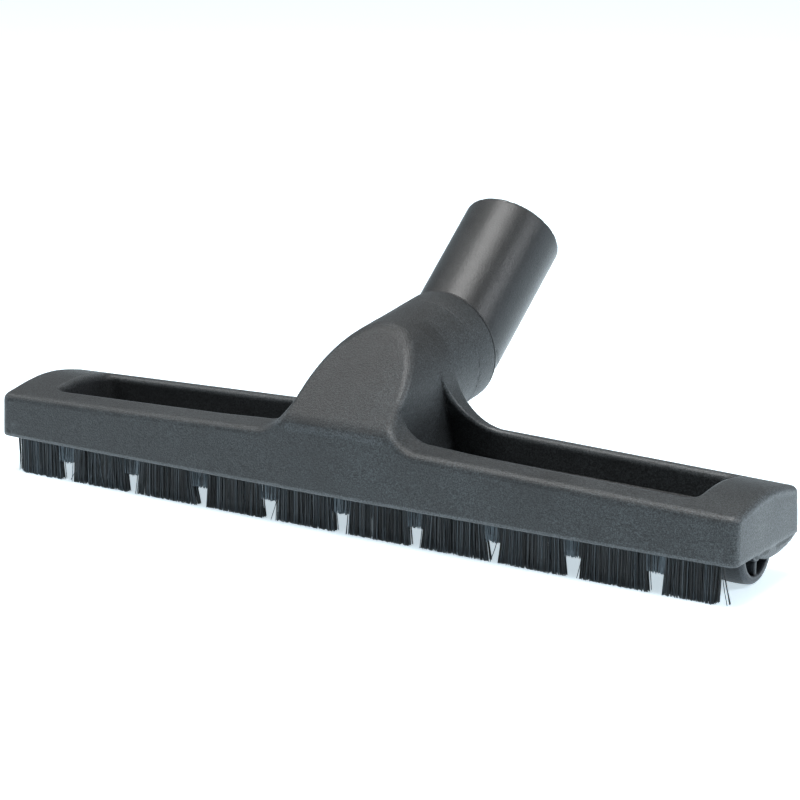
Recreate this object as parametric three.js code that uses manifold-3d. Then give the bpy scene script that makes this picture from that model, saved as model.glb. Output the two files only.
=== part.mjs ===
// Hard-floor brush nozzle with a swivelling neck, for a wet-and-dry vacuum cleaner.
// Millimetres, +Z up. X runs along the nozzle, +Y points back, towards the neck.
// The "head frame" used below has its origin at the middle of the housing's lower edge plane.
import * as THREE from 'three';
import { mergeVertices } from 'three/addons/utils/BufferGeometryUtils.js';
import Module from 'manifold-3d';

const wasm = await Module();
wasm.setup();

// ---- driving dimensions -------------------------------------------------------------------
const LENGTH = 320;
const DEPTH = 50.4;
const HALF = LENGTH / 2;
const GAP = 0.3;               // clearance between neighbouring pieces

const FRONT_BOW = 2.5;         // how far the front face swells at mid length
const REAR_BOW = 0.9;
const FRONT_RISE = 5.4;        // how much higher the front edge is at mid length than at the ends
const REAR_RISE = 4.1;
const END_ROUND = 3.2;         // rounding of the end walls into the front, back and top

const BRISTLE_REACH = 14.7;    // bristle length below the housing's lower edge
const STRIP_HALF = 154;        // half length of the front brush strip
const REAR_STRIP_HALF = 138;   // the rear strip stops short of the wheels
const STRIP_Y = 20.8;          // distance of both strips from the middle line
const STRIP_WIDTH = 4.6;
const STRIP_TOP = 6.9;
const NOTCH_PITCH = 32.2;
const NOTCH_WIDTH = 7.5;
const NOTCH_COUNT = 9;
const NOTCH_TOP = -7.2;

const TROUGH_END = 139;        // outer end of the open troughs in the top
const TROUGH_FRONT = -15.8;
const TROUGH_REAR = 18.5;
const TROUGH_FLOOR = 7.5;
const FLOOR_THICKNESS = 2;
const CHANNEL_TOP = TROUGH_FLOOR - FLOOR_THICKNESS;

const WHEEL_RADIUS = 12.9;
const WHEEL_WIDTH = 12.5;
const WHEEL_OUTER_X = 154.2;
const WHEEL_Y = 4.5;
const WHEEL_Z = -1.5;
const PIN_RADIUS = 1.5;
const PIN_HOLE = 1.85;
const END_WALL = 2.8;

const COLLAR_TILT = THREE.MathUtils.degToRad(8);
const COLLAR_RADIUS = 22.3;
const RIM_CENTRE = new THREE.Vector3(0, 51.1, 41.3);
const BEND = THREE.MathUtils.degToRad(30.3);
const BEND_POINT = 4;          // from the collar's rim out to the corner of the elbow
const TUBE_LENGTH = 58;
const TUBE_BASE_RADIUS = 19.7;
const TUBE_END_RADIUS = 19.9;
const TUBE_BORE = 17.5;
const SPIGOT_RADIUS = 19.5;
const SPIGOT_BORE = 17.1;
const SPIGOT_LENGTH = 24;

const HOOD_LEAN = THREE.MathUtils.degToRad(42);
const HOOD_FOOT = new THREE.Vector3(0, -27.6, 25.2);
const HOOD_SHELL = 2.5;

const SCREW_PLACES = [[-126, 0], [-80, 0], [-31, -10.5], [-31, 10.5], [31, -10.5], [31, 10.5], [80, 0], [126, 0]];
const SOLE_BOTTOM = 0.8;
const SOLE_TOP = 2.8;

const ORIGIN_Y = 42.4;         // from the head frame's middle line back to the middle of the whole box

// ---- solids and placing ---------------------------------------------------------------------
function toSolid(geometry) {
  const bare = geometry.clone();
  bare.deleteAttribute('normal');
  bare.deleteAttribute('uv');
  const merged = mergeVertices(bare, 1e-4);
  const vertProperties = Float32Array.from(merged.attributes.position.array);
  const triVerts = Uint32Array.from(merged.index.array);
  if (signedVolume(vertProperties, triVerts) < 0) {
    triVerts.reverse();
  }
  return new wasm.Manifold(new wasm.Mesh({ numProp: 3, vertProperties, triVerts }));
}

function signedVolume(vertices, triangles) {
  const corner = (i) => new THREE.Vector3().fromArray(vertices, 3 * triangles[i]);
  let volume = 0;
  for (let i = 0; i < triangles.length; i += 3) {
    volume += corner(i).dot(corner(i + 1).cross(corner(i + 2))) / 6;
  }
  return volume;
}

function toMesh(name, body, material) {
  const { vertProperties, triVerts } = body.getMesh();
  const geometry = new THREE.BufferGeometry();
  geometry.setAttribute('position', new THREE.BufferAttribute(Float32Array.from(vertProperties), 3));
  geometry.setIndex(new THREE.BufferAttribute(Uint32Array.from(triVerts), 1));
  geometry.computeVertexNormals();
  const mesh = new THREE.Mesh(geometry, material);
  mesh.name = name;
  return mesh;
}

function union(solids) {
  return solids.reduce((whole, next) => whole.add(next));
}

function cut(whole, tools) {
  return tools.reduce((left, tool) => left.subtract(tool), whole);
}

function box(x0, x1, y0, y1, z0, z1) {
  const geometry = new THREE.BoxGeometry(x1 - x0, y1 - y0, z1 - z0);
  geometry.translate((x0 + x1) / 2, (y0 + y1) / 2, (z0 + z1) / 2);
  return toSolid(geometry);
}

function rodX(radius, x0, x1, y, z, sides = 32) {
  const geometry = new THREE.CylinderGeometry(radius, radius, x1 - x0, sides);
  geometry.rotateZ(-Math.PI / 2);
  geometry.translate((x0 + x1) / 2, y, z);
  return toSolid(geometry);
}

function rodZ(radius, z0, z1, x, y, sides = 20) {
  const geometry = new THREE.CylinderGeometry(radius, radius, z1 - z0, sides);
  geometry.rotateX(Math.PI / 2);
  geometry.translate(x, y, (z0 + z1) / 2);
  return toSolid(geometry);
}

// An outline drawn in (y, z), swept from x0 to x1.
function sweepX(shape, x0, x1) {
  const geometry = new THREE.ExtrudeGeometry(shape, { depth: x1 - x0, bevelEnabled: false, curveSegments: 10 });
  const turn = new THREE.Matrix4().makeBasis(
    new THREE.Vector3(0, 1, 0), new THREE.Vector3(0, 0, 1), new THREE.Vector3(1, 0, 0));
  geometry.applyMatrix4(turn);
  geometry.translate(x0, 0, 0);
  return toSolid(geometry);
}

// An outline drawn in (x, z), swept from y0 to y1.
function sweepY(shape, y0, y1, curveSegments = 12) {
  const geometry = new THREE.ExtrudeGeometry(shape, { depth: y1 - y0, bevelEnabled: false, curveSegments });
  const turn = new THREE.Matrix4().makeBasis(
    new THREE.Vector3(1, 0, 0), new THREE.Vector3(0, 0, 1), new THREE.Vector3(0, -1, 0));
  geometry.applyMatrix4(turn);
  geometry.translate(0, y1, 0);
  return geometry;
}

// A profile of [radius, y] points turned about the Y axis.
function turned(profile, sides = 48) {
  const points = profile.map(([radius, y]) => new THREE.Vector2(radius, y));
  points.push(points[0].clone());
  return new THREE.LatheGeometry(points, sides);
}

// The neck frame: origin at the collar's rim, +Y along the collar's axis.
const neckToHead = new THREE.Matrix4()
  .makeTranslation(RIM_CENTRE)
  .multiply(new THREE.Matrix4().makeRotationX(COLLAR_TILT));

function inHead(neckGeometry) {
  return toSolid(neckGeometry.clone().applyMatrix4(neckToHead));
}

function mirrored(solidAtRight) {
  return solidAtRight.mirror([1, 0, 0]);
}

// ---- housing --------------------------------------------------------------------------------
// The head's cross-section at the ends, in (y, z): drafted faces and a crowned top.
function headSection() {
  const crown = [[-23.4, 17], [-17.5, 17.7], [-9.9, 19.7], [0, 20.4], [10, 19.8], [18.3, 18.6], [22.4, 17]];
  const shape = new THREE.Shape();
  shape.moveTo(-DEPTH / 2, 0);
  shape.lineTo(-24.6, 15.2);
  shape.quadraticCurveTo(-24.4, 16.7, ...crown[0]);
  shape.splineThru(crown.slice(1).map(([y, z]) => new THREE.Vector2(y, z)));
  shape.quadraticCurveTo(24, 16, 24.1, 14.2);
  shape.lineTo(DEPTH / 2, 0);
  shape.closePath();
  return shape;
}

// The section swept along X, swelling and rising towards mid length and rounded off at the ends.
function headBlock() {
  const inner = HALF - END_ROUND;
  const ends = [0, 0.38, 0.7, 0.92, 1].map((part) => inner + END_ROUND * part);
  const middle = [-0.75, -0.5, -0.25, 0, 0.25, 0.5, 0.75].map((part) => part * inner);
  const stations = [...ends.map((x) => -x).reverse(), ...middle, ...ends];
  const steps = stations.length - 1;
  const options = { depth: steps, steps, bevelEnabled: false, curveSegments: 3 };
  const geometry = new THREE.ExtrudeGeometry(headSection(), options);
  const position = geometry.attributes.position;
  for (let i = 0; i < position.count; i++) {
    const x = stations[Math.round(position.getZ(i))];
    const y = position.getX(i);
    const z = position.getY(i);
    const towardsEnd = Math.abs(x) / HALF;
    const bow = (y < 0 ? FRONT_BOW : REAR_BOW) * (1 - towardsEnd ** 2);
    const rise = THREE.MathUtils.lerp(FRONT_RISE, REAR_RISE, (y + DEPTH / 2) / DEPTH);
    const past = Math.max(0, Math.abs(x) - inner);
    const inset = END_ROUND - Math.sqrt(END_ROUND ** 2 - past ** 2);
    const lifted = z + rise * (1 - towardsEnd) * Math.min(1, z / 14);
    const scale = 1 + (bow - inset) / (DEPTH / 2);
    position.setXYZ(i, x, y * scale, lifted - inset * Math.min(1, z / 14));
  }
  return toSolid(geometry);
}

// Rounded outline of one trough, on the right of the neck, seen from above.
function troughOutline() {
  const inner = 12;
  const round = 4;
  const shape = new THREE.Shape();
  shape.moveTo(inner, TROUGH_FRONT - 1.6);
  shape.lineTo(TROUGH_END - round, TROUGH_FRONT);
  shape.absarc(TROUGH_END - round, TROUGH_FRONT + round, round, -Math.PI / 2, 0);
  shape.absarc(TROUGH_END - round, TROUGH_REAR - round, round, 0, Math.PI / 2);
  shape.lineTo(inner, TROUGH_REAR);
  shape.closePath();
  return shape;
}

function trough() {
  const options = { depth: 40, bevelEnabled: false, curveSegments: 5 };
  const geometry = new THREE.ExtrudeGeometry(troughOutline(), options);
  geometry.translate(0, 0, TROUGH_FLOOR);
  return toSolid(geometry);
}

// Arch across the neck, in the neck frame's (x, z): half round on top, drafted sides below.
function archOutline(radius, footSpread) {
  const legs = 36;
  const shape = new THREE.Shape();
  shape.moveTo(radius + footSpread, -legs);
  shape.lineTo(radius, 0);
  shape.absarc(0, 0, radius, 0, Math.PI);
  shape.lineTo(-radius - footSpread, -legs);
  shape.closePath();
  return shape;
}

// Everything above the leaning front face of the hood, set back by depth.
function aboveHoodFace(depth) {
  const size = 160;
  const geometry = new THREE.BoxGeometry(size, size, size);
  geometry.translate(0, 0, size / 2 - depth);
  geometry.rotateX(HOOD_LEAN);
  geometry.translate(...HOOD_FOOT.toArray());
  return toSolid(geometry);
}

// Concave gussets that carry the hood's front edges down into the front rim.
function hoodFoot() {
  const shape = new THREE.Shape();
  shape.moveTo(0, 19);
  shape.lineTo(36, 19);
  shape.lineTo(36, 22.4);
  shape.quadraticCurveTo(25.6, 24.2, 23.4, 35);
  shape.lineTo(0, 35);
  shape.closePath();
  const right = toSolid(sweepY(shape, HOOD_FOOT.y, TROUGH_FRONT + 0.6));
  return right.add(mirrored(right));
}

// The rear rim sweeps up into the collar's flank in a quarter round.
function rearSweep() {
  const centreX = 42.7;
  const centreZ = 41.8;
  const radius = 20.5;
  const shape = new THREE.Shape();
  shape.moveTo(12, 15);
  shape.lineTo(centreX, 15);
  shape.lineTo(centreX, centreZ - radius);
  shape.absarc(centreX, centreZ, radius, -Math.PI / 2, -Math.PI, true);
  shape.lineTo(12, centreZ);
  shape.closePath();
  const right = toSolid(sweepY(shape, 15.5, 24.4));
  return right.add(mirrored(right));
}

function hoodAndCollar() {
  const arch = inHead(sweepY(archOutline(COLLAR_RADIUS - 0.2, 2), -100, -26.5, 20));
  const collar = inHead(new THREE.CylinderGeometry(COLLAR_RADIUS, COLLAR_RADIUS, 40, 56).translate(0, -21.2, 0));
  const raised = union([arch, hoodFoot(), rearSweep()]).intersect(box(-60, 60, HOOD_FOOT.y, 60, 1, 90));
  return raised.add(collar).subtract(aboveHoodFace(0));
}

// The air path from the mouth in the sole up through the hood and the collar.
function airPath() {
  const above = box(-60, 60, HOOD_FOOT.y + HOOD_SHELL, 21.8, TROUGH_FLOOR + 2.2, 90);
  const arch = inHead(sweepY(archOutline(COLLAR_RADIUS - HOOD_SHELL, 1.6), -96, -28, 20));
  const hollow = arch.intersect(above).subtract(aboveHoodFace(HOOD_SHELL));
  const bore = inHead(turned([[0, -34], [19.9, -34], [19.9, -11.5], [21.4, -11.5], [21.4, 5], [0, 5]]));
  const mouth = box(-20, 20, -16.2, 16.2, -1, TROUGH_FLOOR + 4);
  return union([hollow, bore, mouth]);
}

// Skirt under each end wall that covers the wheel's bearing, in (y, z).
function endSkirt() {
  const shape = new THREE.Shape();
  shape.moveTo(-8.6, 0.6);
  shape.splineThru([[-5.6, -1.9], [-0.5, -3.1], [5.5, -3.5], [13, -3], [19.5, -1.5], [24, 0.3]]
    .map(([y, z]) => new THREE.Vector2(y, z)));
  shape.lineTo(24, 2);
  shape.lineTo(-8.6, 2);
  shape.closePath();
  return sweepX(shape, HALF - END_WALL, HALF);
}

// Bearing lugs on both sides of a wheel.
function wheelLugs() {
  const lugRadius = 3.1;
  const innerLug = [TROUGH_END, WHEEL_OUTER_X - WHEEL_WIDTH - 0.5];
  const outerLug = [WHEEL_OUTER_X + 0.5, HALF - END_WALL + 0.1];
  const lugs = [innerLug, outerLug].map(([x0, x1]) => rodX(lugRadius, x0, x1, WHEEL_Y, WHEEL_Z)
    .add(box(x0, x1, WHEEL_Y - lugRadius, WHEEL_Y + lugRadius, WHEEL_Z, 8)));
  return union(lugs);
}

function housing() {
  const wellInner = WHEEL_OUTER_X - WHEEL_WIDTH - 0.5;
  const rightCuts = [
    trough(),
    box(wellInner, HALF - END_WALL, -16.4, 22.6, -5, 14.3),
    box(30, TROUGH_END - 1, -23, -18.2, 5, 14),
  ];
  const channels = [
    box(-STRIP_HALF - 0.6, STRIP_HALF + 0.6, -23.4, -18.2, -1, STRIP_TOP + 0.6),
    box(-REAR_STRIP_HALF - 0.6, REAR_STRIP_HALF + 0.6, 18.2, 23.4, -1, STRIP_TOP + 0.6),
    box(-TROUGH_END, TROUGH_END, -16.4, 16.4, -1, CHANNEL_TOP),
  ];
  const bosses = SCREW_PLACES.map(([x, y]) => rodZ(3.4, SOLE_TOP + GAP, CHANNEL_TOP + 1, x, y));
  const pilots = SCREW_PLACES.map(([x, y]) => rodZ(1.75, SOLE_BOTTOM, 6.7, x, y, 14));
  const pinHole = rodX(PIN_HOLE, TROUGH_END - 2, HALF - 1.2, WHEEL_Y, WHEEL_Z, 20);
  const ends = [endSkirt(), wheelLugs()];

  let body = cut(headBlock(), [...rightCuts, ...rightCuts.map(mirrored)]);
  body = cut(body.add(hoodAndCollar()), channels);
  body = union([body, ...bosses, ...ends, ...ends.map(mirrored)]);
  return cut(body, [airPath(), ...pilots, pinHole, mirrored(pinHole)]);
}

// ---- sole, strips and bristles ----------------------------------------------------------------
function solePlate() {
  const plate = box(-TROUGH_END + 0.5, TROUGH_END - 0.5, -16.1, 16.1, SOLE_BOTTOM, SOLE_TOP);
  const mouthRim = box(-19.7, 19.7, -14.6, 14.6, SOLE_BOTTOM, CHANNEL_TOP + 2);
  const mouth = box(-18, 18, -13, 13, -1, CHANNEL_TOP + 4);
  const holes = SCREW_PLACES.map(([x, y]) => rodZ(1.75, 0, 4, x, y, 14));
  const sinks = SCREW_PLACES.map(([x, y]) => rodZ(3.3, 0, SOLE_BOTTOM + 1, x, y, 20));
  const lugSlots = [-1, 1].map((side) => box(
    side * TROUGH_END - 2, side * TROUGH_END + 2, WHEEL_Y - 3.5, WHEEL_Y + 3.5, 0, 4));
  return cut(plate.add(mouthRim), [mouth, ...holes, ...sinks, ...lugSlots]);
}

// Backing strip: a channel open at the bottom that grips the bristles.
function stripBack(halfLength, y) {
  const wall = 0.9;
  const outer = box(-halfLength, halfLength, y - STRIP_WIDTH / 2, y + STRIP_WIDTH / 2, 1.2, STRIP_TOP);
  const grip = box(-halfLength - 1, halfLength + 1, y - STRIP_WIDTH / 2 + wall, y + STRIP_WIDTH / 2 - wall,
    0, STRIP_TOP - wall);
  return outer.subtract(grip);
}

// Bristles fan out a little from the strip to the floor.
function bristleBlock(halfLength, y) {
  const root = 1.1;
  const tip = 2.4;
  const shape = new THREE.Shape();
  shape.moveTo(y - tip, -BRISTLE_REACH);
  shape.lineTo(y + tip, -BRISTLE_REACH);
  shape.lineTo(y + root, 1.2);
  shape.lineTo(y + root, STRIP_TOP - 0.9 - GAP);
  shape.lineTo(y - root, STRIP_TOP - 0.9 - GAP);
  shape.lineTo(y - root, 1.2);
  shape.closePath();
  return sweepX(shape, -halfLength, halfLength);
}

function frontBristles() {
  const notches = [];
  for (let i = 0; i < NOTCH_COUNT; i++) {
    const x = (i - (NOTCH_COUNT - 1) / 2) * NOTCH_PITCH;
    notches.push(box(x - NOTCH_WIDTH / 2, x + NOTCH_WIDTH / 2, -30, -10, -BRISTLE_REACH - 1, NOTCH_TOP));
  }
  return cut(bristleBlock(STRIP_HALF, -STRIP_Y), notches);
}

// ---- wheels, pins and screws --------------------------------------------------------------------
// A moulded wheel, turned about its own Y axis: rim, thin web, hub and four ribs on each side.
function wheel() {
  const half = WHEEL_WIDTH / 2;
  const webHalf = 0.8;
  const rimInner = 9.7;
  const hub = 3.4;
  const profile = [
    [PIN_HOLE, -half], [hub, -half], [hub, -webHalf], [rimInner, -webHalf], [rimInner, -half],
    [WHEEL_RADIUS - 1.2, -half], [WHEEL_RADIUS - 0.3, -half + 0.5], [WHEEL_RADIUS, -half + 1.5],
    [WHEEL_RADIUS, half - 1.5], [WHEEL_RADIUS - 0.3, half - 0.5], [WHEEL_RADIUS - 1.2, half],
    [rimInner, half], [rimInner, webHalf], [hub, webHalf], [hub, half], [PIN_HOLE, half],
  ];
  const ribs = [];
  for (let i = 0; i < 4; i++) {
    const geometry = new THREE.BoxGeometry(rimInner - hub + 1, WHEEL_WIDTH - 0.8, 1.6);
    geometry.translate((rimInner + hub) / 2, 0, 0);
    geometry.rotateY(i * Math.PI / 2);
    ribs.push(toSolid(geometry));
  }
  return union([toSolid(turned(profile, 36)), ...ribs]);
}

function pin() {
  const x0 = TROUGH_END - 0.4;
  const x1 = HALF - 1.5;
  return toSolid(new THREE.CylinderGeometry(PIN_RADIUS, PIN_RADIUS, x1 - x0, 20));
}

// Countersunk self-tapping screw, head down, with a cross recess.
function screw() {
  const profile = [[0, 0], [2.9, 0], [2.9, 0.3], [1.35, 0.8], [1.35, 4.6], [0.3, 5.5], [0, 5.5]];
  const geometry = turned(profile, 12);
  geometry.rotateX(Math.PI / 2);
  const recess = [box(-1.7, 1.7, -0.3, 0.3, -1, 0.6), box(-0.3, 0.3, -1.7, 1.7, -1, 0.6)];
  return cut(toSolid(geometry), recess);
}

// ---- neck ---------------------------------------------------------------------------------------
// Elbow, in the neck frame: a spigot in the collar, a rounded corner and the connecting tube.
function elbow() {
  const spigotFace = -SPIGOT_LENGTH;
  const spigot = turned([
    [0, spigotFace], [SPIGOT_RADIUS, spigotFace], [SPIGOT_RADIUS, -20], [18.4, -20], [18.4, -17],
    [SPIGOT_RADIUS, -17], [SPIGOT_RADIUS, -10.6], [20.9, -10.6], [20.9, -7.8], [SPIGOT_RADIUS, -7.8],
    [SPIGOT_RADIUS, BEND_POINT], [0, BEND_POINT],
  ]);
  const corner = new THREE.SphereGeometry(SPIGOT_RADIUS, 48, 24).translate(0, BEND_POINT, 0);
  const alongTube = (geometry) => geometry.rotateX(BEND).translate(0, BEND_POINT, 0);
  const tube = alongTube(turned([
    [0, 0], [TUBE_BASE_RADIUS, 0], [TUBE_END_RADIUS, TUBE_LENGTH - 0.8],
    [TUBE_END_RADIUS - 0.7, TUBE_LENGTH], [0, TUBE_LENGTH],
  ]));
  const spigotBore = turned([[0, spigotFace - 1], [SPIGOT_BORE, spigotFace - 1], [SPIGOT_BORE, BEND_POINT],
    [0, BEND_POINT]]);
  const cornerBore = new THREE.SphereGeometry(SPIGOT_BORE, 48, 24).translate(0, BEND_POINT, 0);
  const tubeBore = alongTube(turned([[0, 0], [SPIGOT_BORE, 0], [TUBE_BORE, 6], [TUBE_BORE, TUBE_LENGTH - 0.8],
    [TUBE_BORE + 0.7, TUBE_LENGTH + 0.1], [0, TUBE_LENGTH + 0.1]]));
  const outside = union([spigot, corner, tube].map(toSolid));
  return cut(outside, [spigotBore, cornerBore, tubeBore].map(toSolid));
}

// Ring pressed into the collar's mouth; it keeps the elbow's shoulder in and shows as a thin lip.
function lockRing() {
  return toSolid(turned([
    [19.85, -7.4], [21.1, -7.4], [21.1, -0.9], [COLLAR_RADIUS, -0.9], [COLLAR_RADIUS, -0.25],
    [COLLAR_RADIUS - 0.25, 0], [21.2, 0], [20.15, -1.9], [19.85, -2.6],
  ]));
}

function sealRing() {
  return toSolid(turned([[18.75, -19.5], [19.65, -19.5], [19.75, -18.5], [19.65, -17.5], [18.75, -17.5]], 36));
}

// ---- materials ------------------------------------------------------------------------------------
function plastic(color, roughness = 0.55) {
  return new THREE.MeshStandardMaterial({ color, roughness, metalness: 0 });
}

function steel(color = 0x9a9c9e) {
  return new THREE.MeshStandardMaterial({ color, roughness: 0.35, metalness: 1 });
}

const rubber = new THREE.MeshStandardMaterial({ color: 0x161616, roughness: 0.85, metalness: 0 });

// ---- assembly -------------------------------------------------------------------------------------
const head = new THREE.Group();
head.add(toMesh('housing', housing(), plastic(0x26282a, 0.6)));
head.add(toMesh('sole_plate', solePlate(), plastic(0x202224, 0.6)));
head.add(toMesh('front_strip_back', stripBack(STRIP_HALF, -STRIP_Y), plastic(0x1b1c1e)));
head.add(toMesh('rear_strip_back', stripBack(REAR_STRIP_HALF, STRIP_Y), plastic(0x1b1c1e)));
head.add(toMesh('front_bristles', frontBristles(), plastic(0x17191b, 0.8)));
head.add(toMesh('rear_bristles', bristleBlock(REAR_STRIP_HALF, STRIP_Y), plastic(0x17191b, 0.8)));

for (const [side, word] of [[-1, 'left'], [1, 'right']]) {
  const wheelMesh = toMesh(`wheel_${word}`, wheel(), plastic(0x2c2e30, 0.65));
  wheelMesh.rotation.z = -side * Math.PI / 2;
  wheelMesh.position.set(side * (WHEEL_OUTER_X - WHEEL_WIDTH / 2), WHEEL_Y, WHEEL_Z);
  const pinMesh = toMesh(`wheel_pin_${word}`, pin(), steel());
  pinMesh.rotation.z = -side * Math.PI / 2;
  pinMesh.position.set(side * (TROUGH_END - 0.4 + HALF - 1.5) / 2, WHEEL_Y, WHEEL_Z);
  head.add(wheelMesh, pinMesh);
}

SCREW_PLACES.forEach(([x, y], i) => {
  const mesh = toMesh(`sole_screw_${i + 1}`, screw(), steel(0x6f7174));
  mesh.position.set(x, y, SOLE_BOTTOM + 0.05);
  head.add(mesh);
});

const neck = new THREE.Group();
neck.position.copy(RIM_CENTRE);
neck.rotation.x = COLLAR_TILT;
neck.add(toMesh('lock_ring', lockRing(), plastic(0x232527, 0.5)));
neck.add(toMesh('elbow_tube', elbow(), plastic(0x222426, 0.42)));
neck.add(toMesh('seal_ring', sealRing(), rubber));
head.add(neck);

head.position.set(0, -ORIGIN_Y, BRISTLE_REACH);
const nozzle = new THREE.Group();
nozzle.add(head);

export default nozzle;
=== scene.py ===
# Hard-floor suction nozzle: housing with hood and collar, swivel elbow, brush strips, wheels and sole.
# Sizes are millimetres in the head's own frame: origin in the middle of the housing's lower edge plane,
# X along the nozzle, Y back towards the neck, Z up. to_row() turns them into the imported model's metres.
import math

import bmesh
import bpy
import numpy as np
from mathutils import Matrix, Vector


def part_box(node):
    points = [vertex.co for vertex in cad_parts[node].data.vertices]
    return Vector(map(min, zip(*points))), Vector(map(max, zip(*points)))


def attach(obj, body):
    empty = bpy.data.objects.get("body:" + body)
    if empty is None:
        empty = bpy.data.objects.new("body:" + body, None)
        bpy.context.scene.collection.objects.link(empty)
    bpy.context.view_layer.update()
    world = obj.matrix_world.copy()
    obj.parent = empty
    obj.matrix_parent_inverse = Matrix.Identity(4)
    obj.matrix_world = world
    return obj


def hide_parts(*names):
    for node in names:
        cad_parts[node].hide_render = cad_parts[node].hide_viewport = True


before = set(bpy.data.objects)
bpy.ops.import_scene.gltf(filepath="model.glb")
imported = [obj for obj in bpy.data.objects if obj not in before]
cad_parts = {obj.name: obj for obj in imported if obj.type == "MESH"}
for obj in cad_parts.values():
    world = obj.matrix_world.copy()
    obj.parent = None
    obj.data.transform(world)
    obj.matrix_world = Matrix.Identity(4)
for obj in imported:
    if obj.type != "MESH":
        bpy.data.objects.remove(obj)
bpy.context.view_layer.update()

MM = 0.001

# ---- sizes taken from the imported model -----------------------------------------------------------
sole_low, sole_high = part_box("sole_plate")
strip_low, strip_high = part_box("front_strip_back")
bristle_low, bristle_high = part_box("front_bristles")
rear_bristle_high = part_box("rear_bristles")[1]
wheel_low, wheel_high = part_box("wheel_right")
housing_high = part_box("housing")[1]

SOLE_BOTTOM = 0.8
ORIGIN = Vector((0, (sole_low.y + sole_high.y) / 2, sole_low.z - SOLE_BOTTOM * MM))
HALF = housing_high.x / MM
STRIP_HALF = bristle_high.x / MM
REAR_STRIP_HALF = rear_bristle_high.x / MM
STRIP_Y = (ORIGIN.y - (bristle_low.y + bristle_high.y) / 2) / MM
STRIP_WIDTH = (strip_high.y - strip_low.y) / MM
BRISTLE_REACH = ORIGIN.z / MM
STRIP_TOP = (strip_high.z - ORIGIN.z) / MM
WHEEL_OUTER = wheel_high.x / MM
WHEEL_INNER = wheel_low.x / MM
WHEEL_Y = ((wheel_low.y + wheel_high.y) / 2 - ORIGIN.y) / MM
WHEEL_Z = ((wheel_low.z + wheel_high.z) / 2 - ORIGIN.z) / MM
WHEEL_RADIUS = (wheel_high.z - wheel_low.z) / 2 / MM

# ---- the head's shape ----------------------------------------------------------------------------
DEPTH = 50.4
FRONT_BOW, REAR_BOW = 2.5, 0.9        # swelling of the long faces at mid length
FRONT_RISE, REAR_RISE = 5.4, 4.1      # how much higher the top is at mid length than at the ends
RISE_FULL = 14.0                      # height above which the whole rise applies
CROWN_REACH = 24.4                    # how far from the middle the crown's curve is followed
CROWN = np.polynomial.Polynomial.fit(
    [-CROWN_REACH, -17.5, -9.9, -2, 6, 14, 18.3, CROWN_REACH],
    [16.9, 17.9, 19.6, 20.4, 20.1, 19.2, 18.4, 17.0], 4)
FRONT_DRAFT, REAR_DRAFT, END_DRAFT = 0.04, 0.06, 0.012
SHARP = 0.01                          # radius of an edge that is left sharp
TOP_ROUND, END_ROUND, REAR_ROUND, FOOT_ROUND = 2.6, 3.4, 1.4, 0.9

TROUGH_END, TROUGH_FRONT, TROUGH_REAR = 139.0, -13.6, 18.4
TROUGH_FLOOR, CHANNEL_TOP, CHANNEL_HALF = 7.5, 5.5, 16.4
TROUGH_CORNER, TROUGH_LIP, TROUGH_LIP_AT_HOOD = 4.0, 3.0, 1.6
TROUGH_START, TROUGH_DRAFT, FLOOR_FILLET = 12.0, 0.03, 0.5
DRAFT_HEIGHT = 14.0                   # height at which a trough ends exactly at TROUGH_END
LEAN_FOOT, LEAN = (19.0, 11.0), 0.265  # the troughs' rear wall beside the hood: where it stands, its slope
HOLLOW_START, WELL_START = -3.0, -6.0  # heights below the head's lower edge where its hollows begin

END_WALL = 2.8
SLOT_GAP, SLOT_END_GAP, SLOT_LAP = 0.3, 0.6, 1.3
WELL_REAR, WELL_TOP = 22.6, 14.3
SKIRT_MIDDLE, SKIRT_HALF = 6.8, 16.4
LUG_RADIUS, LUG_TOP, INNER_LUG_HALF, OUTER_LUG_HALF = 3.1, 8.0, 1.1, 1.3
PIN_BORE, PIN_COVER, WHEEL_GAP = 1.85, 1.2, 0.5

COLLAR_TILT = math.radians(8)
COLLAR_RADIUS, COLLAR_BORE, COLLAR_START = 22.3, 19.9, -34.0
COLLAR_FILLET, LEG_DRAFT = 1.6, 0.055
MOUTH_RADIUS = COLLAR_RADIUS + 0.05   # the mouth's skin lies just over the end of the carved collar
MOUTH_BORE, MOUTH_SEAT = 19.95, 21.4
RING_BORE, RING_BODY, RING_BACK, RING_LIP = 19.85, 21.1, -6.9, -0.85
PROFILE_ROUND = 0.25                  # corner radius of the turned parts' profiles
RIM_CENTRE = (0, 51.1, 41.3)
HOOD_LEAN = math.radians(42)
HOOD_FOOT = (-27.6, 25.2)
HOOD_EDGE, HOOD_SHELL = 2.1, 2.5
HOOD_HOLLOW = (-25.0, 21.8)           # front and rear of the air space under the hood
SUCTION_MOUTH = (20.0, 16.2)          # half length and half depth
MOUTH_START = -12.6                   # where the collar's thin mouth begins, along its axis from the rim
FLARE_FRONT, FLARE_REAR = 12.0, 20.5

BEND = math.radians(30.3)
BEND_POINT = 4.0
TUBE_LENGTH = 58.0
TUBE_BASE, TUBE_END, TUBE_BORE = 19.7, 19.9, 17.5
SPIGOT, SPIGOT_BORE, SPIGOT_LENGTH = 19.5, 17.1, 24.0
GROOVE, GROOVE_RADIUS = (-20.0, -17.0), 18.4
SHOULDER, SHOULDER_RADIUS = (-10.6, -7.8), 20.9

NOTCH_PITCH, NOTCH_WIDTH, NOTCH_TOP = 32.2, 7.5, -7.2


def to_row(points):
    """Millimetres in the head's frame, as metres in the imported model's frame."""
    return np.asarray(points, float) * MM + np.array(ORIGIN)


# ---- solids as distance rules --------------------------------------------------------------------
def both(a, b, radius):
    """What two solids share, with the edge between them rounded."""
    corner = np.hypot(np.maximum(a + radius, 0), np.maximum(b + radius, 0))
    return np.minimum(np.maximum(a, b), -radius) + corner


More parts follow.
